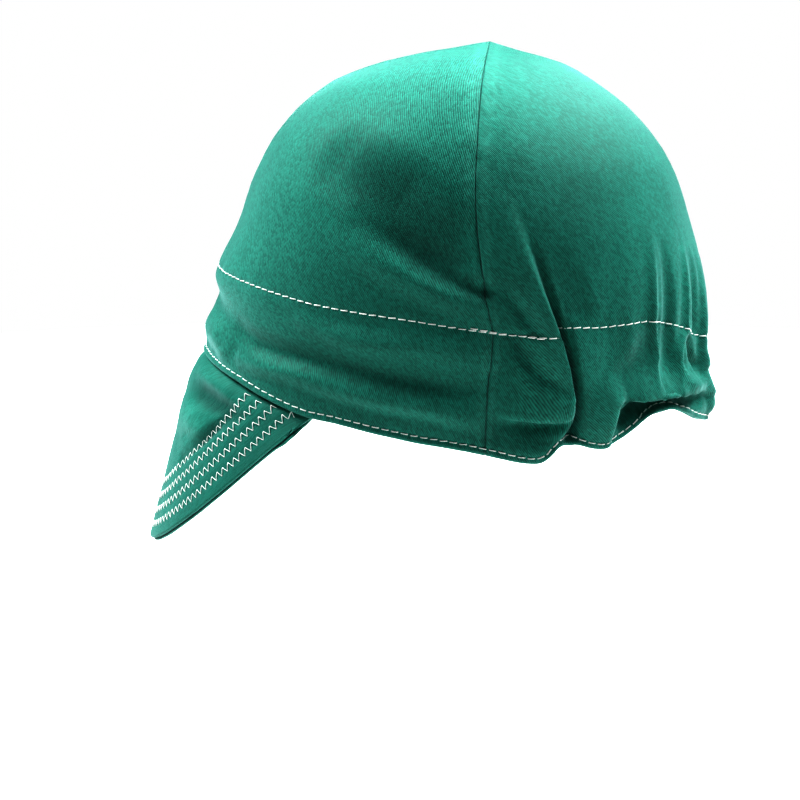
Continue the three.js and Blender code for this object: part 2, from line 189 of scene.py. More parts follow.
# Folds of the cloth. Each runs along a path of places (turn, up, reach, lean), where reach is how far
# it stands out and lean how far it is carried over towards its far side. Near and far are the widths
# of its two sides. Far lies behind a path that runs down, and above one that runs back. Crest is 2 for
# a round fold, and less for a sharper one.
Fold = namedtuple("Fold", "path near far crest", defaults=(2,))
FOLDS = [
    # Pleat behind the left side seam, the deep recess that it hangs over and the crease under its pouch
    Fold([(95.8, 96, 0.4, 0.3), (98.6, 76, 1.9, 2), (100.4, 60, 3, 4), (101.2, 50, 3.6, 6),
          (102.3, 36, 3.9, 7.5), (104.2, 20, 3.6, 6.8), (105.6, 14, 2.4, 4.6)], 14, 5.5),
    Fold([(101, 82, -0.8, 0), (103.5, 66, -2, 0), (105.6, 50, -5, 0), (106.8, 42, -8, 0),
          (107.6, 34, -10, 0), (108.4, 23, -10, 0), (108.8, 14, -8, 0), (108.6, 7, -4, 0)], 6.5, 3),
    Fold([(92, 16, 0.2, -0.4), (96, 16, 1.1, -2), (100, 15.6, 1.6, -2.9), (103, 15, 1.2, -2.2)], 3.6, 9),
    Fold([(93, 11.5, -0.8, 0), (97, 11, -2.2, 0), (101, 10.6, -3, 0), (104, 10.6, -2.4, 0)], 3.6, 4),
    Fold([(92, 1, 1.4, 0), (98, 0, 2.8, 0), (103, 0, 2.8, 0)], 8, 8),
    Fold([(94.5, 46, -1.2, 0), (96, 38, -2, 0), (98.6, 30, -2, 0), (102, 25, -1.4, 0)], 3.5, 6, 1.4),
    Fold([(93.4, 66, -0.6, 0), (96, 56, -1.8, 0), (97, 50, -1.6, 0)], 4, 5, 1.5),
    # Broad column behind it, the soft valley beyond and the lip of the pocket at its foot
    Fold([(108.6, 62, 0.6, 0), (109.6, 48, 1.4, -0.6), (110.8, 36, 1.8, -1.2), (111.8, 24, 2, -1.2),
          (112.2, 12, 2.3, -1), (112.6, 5, 1.8, 0)], 3.2, 16),
    Fold([(105, 78, -0.4, 0), (108, 68, -1.3, 0), (110, 60, -1.5, 0), (111, 54, -0.6, 0)], 8, 11),
    Fold([(133, 54, -1, 0), (128, 45, -1.3, 0), (124, 36, -1.4, 0), (121.5, 28, -1, 0)], 9, 10),
    Fold([(119.6, 27, 1.2, 1.2), (117.8, 20, 2.4, 3), (116.4, 12, 2.4, 3), (116, 5, 1.4, 1.5)], 9, 4.5),
    # Overhanging roll low at the left back, with the pocket under it
    Fold([(119.6, 25, 1.6, -2), (126, 27.5, 3.2, -4.8), (134, 29, 4, -5.6), (141, 29.2, 4.2, -5.2),
          (149, 27, 4, -4), (157, 22, 2.8, -1.4), (164, 18, 1.6, 0)], 4.5, 12),
    Fold([(150, 9, 0.6, 0), (157, 11, 1.8, 0), (165, 12, 2.2, 0), (173, 11, 1, 0)], 11, 11),
    Fold([(121.5, 13, -4, 0), (125, 17.5, -6, 0), (132, 20.5, -6.4, 0), (140, 21.5, -5.4, 0),
          (148, 18.5, -3.4, 0), (154, 16, -1, 0)], 7, 4.5),
    # Gathers that the drawn-in back throws upwards, from the left round to the right
    Fold([(135, 92, 0.2, 0), (132.4, 68, 1.7, 0), (132, 60, 2.2, 0), (133.4, 50, 2.4, 0),
          (133.6, 44, 2.2, 0), (132, 34, 1, 0)], 5, 4.5, 1.1),
    Fold([(139, 88, -0.5, 0), (139, 66, -1.8, 0), (138.5, 48, -2, 0), (137.5, 38, -1, 0)], 5, 5),
    Fold([(150, 57, 0.8, 0), (145.4, 53, 1.9, 0), (143.2, 47, 2.4, 0), (142.6, 39, 2.4, 0),
          (146, 33, 2.4, 0), (157, 27, 1.4, 0)], 5, 5, 1.2),
    Fold([(150, 50, -1.8, 0), (151, 43, -3, 0), (154, 37, -2, 0)], 4.5, 5),
    Fold([(151, 90, 0.2, 0), (148, 75, 1.6, 0), (147, 66, 2.2, 0), (147, 57, 1.8, 0)], 4.5, 4.5, 1.1),
    Fold([(154, 84, -0.5, 0), (153.5, 68, -2, 0), (153.5, 56, -1.8, 0)], 5, 5),
    Fold([(159, 70, 0.8, 0), (158.4, 54, 2.2, 0), (158, 44, 2, 0), (160, 36, 1, 0)], 4.5, 4.5, 1.2),
    Fold([(162, 86, 0.5, 0), (161, 60, 2.4, 0), (160, 34, 2.6, 0), (163, 10, 1.6, 0)], 6, 6),
    Fold([(168, 76, -0.8, 0), (168, 48, -2.4, 0), (169, 10, -2, 0)], 6, 6),
    Fold([(175, 80, 0.6, 0), (175, 52, 2.2, 0), (174, 8, 1.8, 0)], 6, 6),
    Fold([(-179, 70, -1, 0), (-178, 40, -2, 0), (-179, 6, -1.6, 0)], 6, 6),
    Fold([(-172, 82, 0.6, 0), (-172, 50, 2.2, 0), (-173, 6, 1.8, 0)], 6, 6),
    Fold([(-165, 78, -0.8, 0), (-164, 46, -2.4, 0), (-165, 8, -2, 0)], 6, 6),
    Fold([(-157, 88, 0.6, 0), (-158, 56, 2.8, -0.6), (-156, 12, 2.4, 0)], 7, 6),
    Fold([(-148, 80, -0.8, 0), (-148, 48, -3.2, 0), (-147, 18, -2.6, 0)], 7, 7),
    Fold([(-138, 92, 0.6, 0), (-139, 58, 3, -0.8), (-140, 16, 2.4, -0.5)], 7, 7),
    Fold([(-128, 78, -0.8, 0), (-129, 48, -3.4, 0), (-129, 12, -2.8, 0)], 8, 8),
    Fold([(-116, 84, 0.6, 0), (-117, 54, 3, -1.5), (-116, 8, 2.6, -1)], 9, 10),
    Fold([(-106, 68, -0.8, 0), (-107, 40, -2.8, 0), (-106, 12, -2, 0)], 8, 8),
    # Broad dents of the soft front panels and the drag lines that run from them to the side seams
    Fold([(56, 108, -2, 0), (72, 94, -4.2, 0), (81, 82, -3.4, 0)], 20, 22),
    Fold([(64, 85, -0.8, 0), (75, 77, -2.4, 0), (84, 71, -2.2, 0)], 9, 10, 1.6),
    Fold([(54, 79, 0.2, 0), (62, 74.5, 0.9, 0), (70, 69, 1.7, 0), (78, 63.5, 2.1, 0), (85, 59, 1.9, 0),
          (89, 54, 0.8, 0)], 10, 9),
    Fold([(78, 69, -1, 0), (85, 64.5, -3, 0), (90, 62.5, -3.2, 0)], 5, 7, 1.6),
    Fold([(-52, 104, -3, 0), (-72, 92, -3, 0)], 24, 24),
    Fold([(-50, 72, 1.2, 0), (-84, 64, 1.5, 0)], 11, 11),
    # Slight wander of the left side seam
    Fold([(90, 60, 0, 0.8), (90, 47, 0, 2.4), (90, 36, 0, 1.6), (90, 24, 0, 0)], 26, 26),
    # Long hollow and rolls along the front of the band
    Fold([(-24, 35, -0.4, 0), (-10, 34, -1.3, 0), (2, 33, -1.9, 0), (10, 31, -1.5, 0),
          (20, 27, -0.5, 0)], 11, 12),
    Fold([(27, 22, -0.4, 0), (32, 18.5, -1.8, 0), (38, 16.5, -2.5, 0), (46, 16.5, -2.5, 0),
          (54, 18, -2.6, 0), (61, 19, -2.6, 0), (74, 20, -2.4, 0), (81, 21.5, -2, 0), (87, 23, -1.2, 0)],
         5.5, 10, 1.7),
    Fold([(-18, 10, 0.8, 0), (0, 11, 1.6, 0), (10, 13, 2.7, 0), (20, 12, 3.2, 0), (25, 9, 1.8, 0)], 8, 11),
    Fold([(34, 8, 1, 0), (41, 9, 2.2, 0), (52, 10.5, 2.6, 0), (62, 10, 2.6, 0), (71, 11, 2.8, 0),
          (79, 12.5, 2.8, 0), (87, 12, 1.4, 0)], 6, 6),
    Fold([(54, 36, 0.8, 0), (61, 34, 2.2, 0), (70, 34.5, 2.4, 0), (76, 37, 2.2, 0), (88, 38, 1.4, 0)],
         9, 9),
    Fold([(-24, 22, -1.2, 0), (-78, 24, -1.5, 0)], 9, 9),
]


def column_at(table, key, column, at):
    """The value at one place of a named column of a table, on a smooth curve through its rows"""
    keys = np.array([getattr(row, key) for row in table], float)
    values = np.array([getattr(row, column) for row in table], float)
    before = np.maximum(np.arange(len(keys)) - 1, 0)
    after = np.minimum(np.arange(len(keys)) + 1, len(keys) - 1)
    slopes = (values[after] - values[before]) / (keys[after] - keys[before])
    i = np.searchsorted(keys[1:-1], at)
    span = keys[i + 1] - keys[i]
    t = (at - keys[i]) / span
    eased = t * t * (3 - 2 * t)
    bend = t * (1 - t) * ((1 - t) * slopes[i] - t * slopes[i + 1]) * span
    return values[i] + (values[i + 1] - values[i]) * eased + bend


def line_up(line, turn):
    """How high up the cloth an edge line lies at a turn"""
    return column_at(EDGE_LINES, "turn", line, turn)


def ease(value, start, end):
    """0 before the start and 1 past the end, with a smooth change between them"""
    t = np.clip((value - start) / (end - start), 0, 1)
    return t * t * (3 - 2 * t)


def unit(vectors):
    """The same directions with length 1"""
    return vectors / np.maximum(np.linalg.norm(vectors, axis=-1, keepdims=True), 1e-9)


def fold_push(turn, up, folds=FOLDS):
    """How far the folds push the cloth out, round and up at each place on it"""
    out, round_, rise = np.zeros(turn.shape), np.zeros(turn.shape), np.zeros(turn.shape)
    for fold in folds:
        nearest = np.full(turn.shape, np.inf)
        hold = [np.zeros(turn.shape) for _ in range(5)]
        for start, end in zip(fold.path, fold.path[1:]):
            along = np.array([(end[0] - start[0]) * ROUND_PER_TURN, end[1] - start[1]])
            from_turn = ((turn - start[0] + 180) % 360 - 180) * ROUND_PER_TURN
            from_up = up - start[1]
            share = np.clip((from_turn * along[0] + from_up * along[1]) / (along @ along), 0, 1)
            aside_turn = from_turn - share * along[0]
            aside_up = from_up - share * along[1]
            away = np.hypot(aside_turn, aside_up)
            to_far = np.array([-along[1], along[0]]) / np.hypot(*along)
            side = (aside_turn * to_far[0] + aside_up * to_far[1]) / np.maximum(away, 1e-6)
            reach = start[2] + (end[2] - start[2]) * share
            lean = start[3] + (end[3] - start[3]) * share
            closer = away < nearest
            nearest = np.where(closer, away, nearest)
            found = (side, reach, lean * to_far[0], lean * to_far[1])
            hold = [np.where(closer, new, old) for new, old in zip(found, hold)]
        side, reach, lean_round, lean_rise = hold
        width = fold.near + (fold.far - fold.near) * (1 + side) / 2
        strength = np.clip(1 - (nearest / width) ** fold.crest, 0, 1) ** 2
        out += reach * strength
        round_ += lean_round * strength
        rise += lean_rise * strength
    return out, round_, rise


def smooth_point(turn, up):
    """A point of the shell's outer face before its folds"""
    angle = np.radians(turn)
    across = np.sign(np.sin(angle)) * np.abs(np.sin(angle)) ** (2 / OVAL_POWER)
    along = np.abs(np.cos(angle)) ** (2 / OVAL_POWER)
    at_front = np.cos(angle) > 0
    sides = {name: column_at(SECTIONS, "up", name, up) for name in Section._fields[1:]}
    end_y = np.where(at_front, sides["front_y"], sides["rear_y"])
    end_z = np.where(at_front, sides["front_z"], sides["rear_z"])
    return np.stack([
        sides["side_x"] * across,
        sides["seam_y"] + (end_y - sides["seam_y"]) * along,
        sides["side_z"] + (end_z - sides["side_z"]) * along,
    ], axis=-1)


def directions(point_at, turn, up):
    """The way round, the way up and the way out of a surface that is given by turn and up"""
    round_ = unit(point_at(turn + FEEL, up) - point_at(turn - FEEL, up))
    rise = unit(point_at(turn, np.minimum(up + FEEL, FEEL_LIMIT)) - point_at(turn, up - FEEL))
    return round_, rise, unit(np.cross(round_, rise))


def seam_distance(turn, up):
    """How far a place is from the nearest seam, in millimetres"""
    from_seam = np.abs(turn - 90 * np.round(turn / 90))
    return from_seam * ROUND_PER_TURN * np.maximum(TOP_UP - up, 1) / TOP_UP


def cloth_point(turn, up):
    """A point of the shell's outer face with its folds"""
    round_, rise, out = directions(smooth_point, turn, up)
    push_out, push_round, push_rise = fold_push(turn, up)
    pull = SEAM_PINCH * np.clip(1 - seam_distance(turn, up) / SEAM_PINCH_REACH, 0, 1) ** 2
    pull = pull * (1 - ease(up, *SEAM_PINCH_FADE))
    return (smooth_point(turn, up) + out * (push_out - pull)[..., None]
            + round_ * push_round[..., None] + rise * push_rise[..., None])


def soft_noise(points, size, tall=1, start=0):
    """Smooth noise from -1 to 1 at each point, with lumps of about this size, drawn out upwards"""
    places = points.reshape(-1, 3) / (size, size, size * tall) + start
    return np.array([noise.noise(Vector(place)) for place in places]).reshape(points.shape[:-1])


ALL_TURNS = np.linspace(-180, 180, 1801)


def run_along(points):
    """The distance along a path of points to each of them"""
    return np.concatenate([[0], np.cumsum(np.linalg.norm(np.diff(points, axis=0), axis=1))])


def distance_round(up_at):
    """The distance round the cloth from the rear seam to each of ALL_TURNS, along a line on it"""
    return run_along(cloth_point(ALL_TURNS, up_at(ALL_TURNS)))


def hem_stitch_up(turn):
    """How high up the cloth the hem's stitch line lies"""
    return line_up("edge", turn) + HEM_STITCH


def band_stitch_up(turn):
    """How high up the cloth the band's stitch line lies"""
    return line_up("band", turn)


AROUND_HEM = distance_round(hem_stitch_up)
AROUND_BAND = distance_round(band_stitch_up)


def ripple(turn, up):
    """The small relief of the cloth: soft creases, gathers, and what the stitching draws in"""
    points = smooth_point(turn, up)
    from_hem = up - line_up("edge", turn)
    from_band = up - band_stitch_up(turn)
    relief = 0.4 * soft_noise(points, 34) + 0.2 * soft_noise(points, 14, tall=1.5, start=40)
    gathered = ease(np.abs(turn), *GATHER_TURN) * (1 - ease(from_band, *GATHER_FADE))
    relief += gathered * (0.9 * soft_noise(points, 8, tall=6, start=7)
                          + 0.35 * soft_noise(points, 4, tall=5, start=80))
    for around, away in ((AROUND_HEM, from_hem - HEM_STITCH), (AROUND_BAND, from_band)):
        beat = np.cos(2 * np.pi * np.interp(turn, ALL_TURNS, around) / STITCH_PITCH)
        relief -= (0.3 + 0.12 * beat) * np.exp(-((away / FURROW_WIDTH) ** 2))
        pucker = 0.28 * soft_noise(points, 5, tall=2.5, start=21)
        relief += pucker * np.exp(-((away / PUCKER_WIDTH) ** 2))
    relief += 0.45 * np.sin(np.pi * np.clip(from_hem / HEM_STITCH, 0, 1))
    pucker = 0.4 * soft_noise(points, 4.5, tall=0.8, start=60) * np.exp(-seam_distance(turn, up) / 4)
    return relief + pucker * (1 - ease(up, *PUCKER_FADE))


def layer_point(turn, up, depth):
    """A point at a depth below the shell's outer face"""
    out = directions(cloth_point, turn, up)[2]
    return cloth_point(turn, up) + out * (ripple(turn, up) - depth)[..., None]


def grid_mesh(name, points, cloth, wear_and_shading, keep=None, closed=False):
    """A sheet through rows and columns of points, with its places on the flat cloth and its wear and
    painted shading
    """
    index = np.arange(points[..., 0].size).reshape(points.shape[:2])
    if closed:
        index = np.hstack([index, index[:, :1]])
    corners = [(slice(None, -1), slice(None, -1)), (slice(None, -1), slice(1, None)),
               (slice(1, None), slice(1, None)), (slice(1, None), slice(None, -1))]
    quads = np.stack([index[corner] for corner in corners], axis=-1)
    places = np.stack([cloth[corner] for corner in corners], axis=-2)
    if keep is None:
        keep = np.ones(quads.shape[:2], bool)
    mesh = bpy.data.meshes.new(name)
    mesh.from_pydata(((points.reshape(-1, 3) + CAP_PLACE) * MM).tolist(), [], quads[keep].tolist())
    mesh.uv_layers.new(name="cloth").data.foreach_set("uv", (places[keep] * MM).ravel())
    mesh.attributes.new("wear_and_shading", "FLOAT", "POINT").data.foreach_set("value", wear_and_shading.ravel().astype(np.float32))
    made = bmesh.new()
    made.from_mesh(mesh)
    bmesh.ops.delete(made, geom=[vert for vert in made.verts if not vert.link_faces], context="VERTS")
    bmesh.ops.remove_doubles(made, verts=made.verts, dist=0.004 * MM)
    made.to_mesh(mesh)
    made.free()
    piece = bpy.data.objects.new(name, mesh)
    bpy.context.scene.collection.objects.link(piece)
    return piece


def give_thickness(piece, thickness):
    """Thickens a sheet behind its face and smooths its shading"""
    bpy.ops.object.select_all(action="DESELECT")
    bpy.context.view_layer.objects.active = piece
    piece.select_set(True)
    wall = piece.modifiers.new("wall", "SOLIDIFY")
    wall.thickness = thickness * MM
    wall.offset = -1
    bpy.ops.object.modifier_apply(modifier=wall.name)
    bpy.ops.object.shade_smooth()
    piece.select_set(False)


ROLL_STEPS = 8


def rolled_edge(radius, steps=ROLL_STEPS):
    """Distance from the edge, depth and distance along the cloth of a half-round fold, inside first"""
    angles = np.linspace(math.pi, 0, steps + 1)
    return list(zip(radius * (1 - np.sin(angles)), radius * (1 - np.cos(angles)), -radius * angles))


def crowd(share, amount):
    """A share of a length, moved so that even shares lie closer together towards both ends"""
    return share - amount * math.sin(2 * math.pi * share) / (2 * math.pi)


HEM_ROWS = 6
BAND_ROWS = 42
BAND_CROWDING = 0.55
CROWN_ROWS = 96
CROWN_CROWDING = 0.075


def panel_rows():
    """Rise function, depth and flat place of each row, from the raw edge inside the hem to the top"""
    def edge_row(rise):
        return lambda turn: line_up("edge", turn) + rise

    def band_row(share):
        return lambda turn: (edge_row(HEM_ROLL)(turn)
                             + (line_up("band", turn) - line_up("edge", turn) - HEM_ROLL) * share)

    def crown_row(share):
        return lambda turn: line_up("band", turn) + (LAST_ROW_UP - line_up("band", turn)) * share

    rows = [(edge_row(rise), 2 * HEM_ROLL, -HEM_ROLL * math.pi - rise)
            for rise in np.linspace(HEM_TURN_UP, HEM_ROLL, HEM_ROWS)[:-1]]
    rows += [(edge_row(rise), depth, place) for rise, depth, place in rolled_edge(HEM_ROLL)]
    for step in range(1, BAND_ROWS + 1):
        rows.append((band_row(crowd(step / BAND_ROWS, BAND_CROWDING)), 0, None))
    for step in range(1, CROWN_ROWS + 1):
        share = step / CROWN_ROWS
        share = (share - CROWN_CROWDING * (1 - math.exp(-8 * share))) / (1 - CROWN_CROWDING)
        rows.append((crown_row(share), 0, None))
    return rows


FINE_COLUMNS = 241
LAP_COLUMNS = 6
LAP_SHARE = 0.36
ROLL_SHARE = 0.125
HEM_CLEAR = 2
HEM_WEAR_WIDTH = 1.6
FOLD_WEAR_AND_SHADE_HEIGHT = 6
SEAM_WEAR_PLACE = 1.2
SEAM_WEAR_WIDTH = 0.8


def crown_panel(name, from_turn, to_turn, columns, fine):
    """One of the panels, with columns set closer to its first seam (fine below 0) or its last one"""
    fine_turns = np.linspace(from_turn, to_turn, FINE_COLUMNS)
    share = np.linspace(0, 1, columns + 1)[1:-1]
    share = share + 0.5 * fine * share * (1 - share)
    turns, ups, depths, cloth = [], [], [], []
    for up_at, depth, flat_up in panel_rows():
        run = run_along(smooth_point(fine_turns, up_at(fine_turns)))
        length = run[-1]
        roll = min(SEAM_ROLL, ROLL_SHARE * length)
        lap = min(SEAM_LAP, LAP_SHARE * length)
        laps = [lap * (1 - column / LAP_COLUMNS) for column in range(LAP_COLUMNS)]
        side = [(roll + rest, 2 * roll, -roll * math.pi - rest) for rest in laps] + rolled_edge(roll)
        place, seam_depth, flat = np.array(side).T
        seam_depth *= SEAM_ROLL / roll
        middle = roll + share * (length - 2 * roll)
        place = np.concatenate([place, middle, length - place[::-1]])
        seam_depth = np.concatenate([seam_depth, np.zeros(len(middle)), seam_depth[::-1]])
        flat = np.concatenate([flat + roll, middle, length - roll - flat[::-1]]) - length / 2
        turn = np.interp(place, run, fine_turns)
        up = up_at(turn)
        turns.append(turn)
        ups.append(up)
        depths.append(seam_depth + depth)
        cloth.append(np.stack([flat, up if flat_up is None else line_up("edge", turn) + flat_up], axis=-1))
    turns, ups, depths, cloth = (np.array(values) for values in (turns, ups, depths, cloth))
    points = layer_point(turns, ups, depths)
    in_lap = np.zeros(len(turns[0]), bool)
    in_lap[:LAP_COLUMNS + ROLL_STEPS] = True
    in_lap[-(LAP_COLUMNS + ROLL_STEPS):] = True
    below = ups < line_up("edge", turns) + HEM_TURN_UP + HEM_CLEAR
    in_way = below & in_lap[None, :]
    keep = ~(in_way[:-1, :-1] & in_way[:-1, 1:] & in_way[1:, 1:] & in_way[1:, :-1])
    roll_start = LAP_COLUMNS + ROLL_STEPS // 2
    keep[:, roll_start:-roll_start] = True
    # Paler where the hem's edge, the seam ridges and the folds' crests are worn. The folds' dents and the
    # deep recess behind the pleat go below 0, which paints shade into them.
    wear_and_shading = 0.7 * np.exp(-((ups - line_up("edge", turns)) / HEM_WEAR_WIDTH) ** 2)
    wear_and_shading += np.clip(fold_push(turns, ups)[0] / FOLD_WEAR_AND_SHADE_HEIGHT, -1, 0.6)
    wear_and_shading += 0.6 * np.exp(-((seam_distance(turns, ups) - SEAM_WEAR_PLACE) / SEAM_WEAR_WIDTH) ** 2)
    return grid_mesh(name, points, cloth, wear_and_shading, keep)


# Cotton sateen has long floats, which lie in fine slanting ribs and give it a slightly lustrous grain.
# The dye has faded a little on its folds and edges. Shade is painted darker into the dents, and on the
# peak a painted highlight lightens the padding's swellings. The weave's sizes are in metres.
SHELL_GREEN = (0.015, 0.186, 0.144, 1)
WORN_AND_LIT_GREEN = (0.06, 0.33, 0.265, 1)
RIB_PITCH = 0.0007
RIB_ANGLE = 0.6
FLOAT_LENGTH = 0.0013
WAVE_LENGTH = 0.314
weave = bpy.data.node_groups.new("sateen_weave", "ShaderNodeTree")
weave.interface.new_socket("Cloth", in_out="INPUT", socket_type="NodeSocketVector")
weave.interface.new_socket("Grain", in_out="INPUT", socket_type="NodeSocketFloat")
weave.interface.new_socket("Height", in_out="OUTPUT", socket_type="NodeSocketFloat")
weave.interface.new_socket("Tone", in_out="OUTPUT", socket_type="NodeSocketFloat")
weave_in = weave.nodes.new("NodeGroupInput")
weave_out = weave.nodes.new("NodeGroupOutput")
ribbed = add_node(weave, "ShaderNodeMapping", {"vector_type": "TEXTURE"},
                  {"Vector": weave_in.outputs["Cloth"], "Rotation": (0, 0, RIB_ANGLE),
                   "Scale": (RIB_PITCH, FLOAT_LENGTH, 1)})
ribs = add_node(weave, "ShaderNodeTexWave", {"wave_type": "BANDS", "bands_direction": "X"},
                {"Vector": ribbed.outputs["Vector"], "Scale": WAVE_LENGTH, "Distortion": 2.0, "Detail": 1.0,
                 "Detail Scale": 1.5})
floats = add_node(weave, "ShaderNodeTexVoronoi", {"voronoi_dimensions": "2D"},
                  {"Vector": ribbed.outputs["Vector"], "Scale": 1.0, "Randomness": 0.6})
shade = add_node(weave, "ShaderNodeSeparateColor", None, {"Color": floats.outputs["Color"]})
rounded = add_node(weave, "ShaderNodeMapRange", None,
                   {"Value": floats.outputs["Distance"], "From Max": 0.8, "To Min": 0.7, "To Max": 0.0})
height = add_node(weave, "ShaderNodeMath", {"operation": "ADD"},
                  {0: ribs.outputs["Fac"], 1: rounded.outputs["Result"]})
mixed = add_node(weave, "ShaderNodeMath", {"operation": "MULTIPLY_ADD"},
                 {0: shade.outputs["Red"], 1: 0.6, 2: ribs.outputs["Fac"]})
grain_low = add_node(weave, "ShaderNodeMath", {"operation": "SUBTRACT"},
                     {0: 1.0, 1: weave_in.outputs["Grain"]})
grain_high = add_node(weave, "ShaderNodeMath", {"operation": "ADD"},
                      {0: 1.0, 1: weave_in.outputs["Grain"]})
tone = add_node(weave, "ShaderNodeMapRange", None,
                {"Value": mixed.outputs[0], "From Min": 0.1, "From Max": 1.5,
                 "To Min": grain_low.outputs[0], "To Max": grain_high.outputs[0]})
weave.links.new(height.outputs[0], weave_out.inputs["Height"])
weave.links.new(tone.outputs["Result"], weave_out.inputs["Tone"])


def cloth_look(name, colour, grain):
    """The green sateen, in its own colour and with its own strength of grain"""
    look = bpy.data.materials.new(name)
    look.use_nodes = True
    tree = look.node_tree
    surface = tree.nodes["Principled BSDF"]
    surface.inputs["Roughness"].default_value = 0.58
    surface.inputs["Specular IOR Level"].default_value = 0.15
    surface.inputs["Sheen Weight"].default_value = 0.4
    surface.inputs["Sheen Roughness"].default_value = 0.45
    surface.inputs["Sheen Tint"].default_value = (0.6, 1, 1, 1)
    cloth = add_node(tree, "ShaderNodeUVMap", {"uv_map": "cloth"})
    weaving = add_node(tree, "ShaderNodeGroup", {"node_tree": weave},
                       {"Cloth": cloth.outputs["UV"], "Grain": grain})
    spot = add_node(tree, "ShaderNodeTexCoord")
    fade = add_node(tree, "ShaderNodeTexNoise", None,
                    {"Vector": spot.outputs["Object"], "Scale": 28.0, "Detail": 5.0, "Roughness": 0.6})
    faded = add_node(tree, "ShaderNodeMapRange", None,
                     {"Value": fade.outputs["Fac"], "From Min": 0.3, "From Max": 0.7, "To Min": 0.9,
                      "To Max": 1.1})
    # Above 0 the value mixes in the paler green where the cloth is worn, and on the peak's swellings as a
    # painted highlight. Below 0 it darkens the tone down to 0.6, as painted shade in dents and recesses.
    wear_and_shading_value = add_node(tree, "ShaderNodeAttribute", {"attribute_name": "wear_and_shading"})
    worn_and_lit_share = add_node(tree, "ShaderNodeMapRange", None, {"Value": wear_and_shading_value.outputs["Fac"], "To Max": 0.35})
    painted_shade = add_node(tree, "ShaderNodeMapRange", None,
                    {"Value": wear_and_shading_value.outputs["Fac"], "From Min": -1.0, "From Max": 0.0, "To Min": 0.6})
    tones = add_node(tree, "ShaderNodeMath", {"operation": "MULTIPLY"},
                     {0: faded.outputs["Result"], 1: weaving.outputs["Tone"]})
    shaded_tones = add_node(tree, "ShaderNodeMath", {"operation": "MULTIPLY"},
                          {0: tones.outputs[0], 1: painted_shade.outputs["Result"]})
    worn_and_lit_green = add_node(tree, "ShaderNodeMix", {"data_type": "RGBA"},
                    {"Factor": worn_and_lit_share.outputs["Result"], 6: colour, 7: WORN_AND_LIT_GREEN})
    toned = add_node(tree, "ShaderNodeVectorMath", {"operation": "SCALE"},
                     {0: worn_and_lit_green.outputs[2], "Scale": shaded_tones.outputs[0]})
    tree.links.new(toned.outputs["Vector"], surface.inputs["Base Color"])
    bump = add_node(tree, "ShaderNodeBump", None,
                    {"Height": weaving.outputs["Height"], "Strength": 0.55, "Distance": 0.0001})
    tree.links.new(bump.outputs["Normal"], surface.inputs["Normal"])
    return look


Panel = namedtuple("Panel", "name node from_turn to_turn columns fine flat area held")
PANELS = [
    Panel("front_left_panel", "crown_front_left", 0, 90, 120, 0, (0.18, 0.215), 0.0278, "draped"),
    Panel("front_right_panel", "crown_front_right", -90, 0, 120, 0, (0.18, 0.215), 0.0278, "draped"),
    Panel("rear_left_panel", "crown_rear_left", 90, 180, 170, -1, (0.19, 0.215), 0.0292, "gathered"),
    Panel("rear_right_panel", "crown_rear_right", -180, -90, 150, 1, (0.19, 0.215), 0.0292, "gathered"),
]
shell_look = cloth_look("green_sateen", SHELL_GREEN, 0.5)
for panel in PANELS:
    piece = crown_panel(panel.name, panel.from_turn, panel.to_turn, panel.columns, panel.fine)
    give_thickness(piece, CLOTH)
    piece.data.materials.append(shell_look)
    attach(piece, "root")
    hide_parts(panel.node)

# Inner band
# A folded band of the same cloth faces the lower edge inside and bridges the shell's folds. The hem's
# stitches catch its lower fold and the band's its upper one, and at the front it makes room for the peak.
SHELL_WALL = 2
PLY_WALL = 1.6
LAYER_GAP = 0.45
FACING_DEPTH = 3.65
FACING_ROLL = 0.75
FACING_ROLL_STEPS = 6
FACING_TURN_IN = 4
FACING_RISE = 0.5
FACING_ABOVE = 2.5
FACING_COLUMNS = 560
FACING_ROWS = 38
FACING_CROWDING = 0.5
FACING_GREEN = (0.026, 0.17, 0.13, 1)
GIVE_WAY_TURN = (57, 72)
GIVE_WAY_UP = (9, 25)


def from_around(values, across, along, combine):
    """Combines the values near each place of a ring of rows"""
    ring = np.pad(values, ((0, 0), (across, across)), mode="wrap")
    ring = np.pad(ring, ((along, along), (0, 0)), mode="edge")
    windows = np.lib.stride_tricks.sliding_window_view(ring, (2 * along + 1, 2 * across + 1))
    return combine(windows, axis=(-2, -1))


def facing_rows():
    """Height function and set-back from the visible face of each row, from the lower fold up"""
    def low_row(rise):
        return lambda turn: line_up("edge", turn) + FACING_RISE + rise

    def high_row(drop):
        return lambda turn: line_up("band", turn) + FACING_ABOVE - drop

    def middle_row(share):
        return lambda turn: (low_row(FACING_ROLL)(turn)
                             + (high_row(0)(turn) - low_row(0)(turn) - 2 * FACING_ROLL) * share)

    fold = [(away, behind) for away, behind, _ in rolled_edge(FACING_ROLL, FACING_ROLL_STEPS)]
    rows = [(low_row(FACING_TURN_IN), 2 * FACING_ROLL)]
    rows += [(low_row(rise), behind) for rise, behind in fold]
    rows += [(middle_row(crowd(step / FACING_ROWS, FACING_CROWDING)), 0) for step in range(1, FACING_ROWS)]
    rows += [(high_row(drop), behind) for drop, behind in fold[::-1]]
    return rows + [(high_row(FACING_TURN_IN), 2 * FACING_ROLL)]


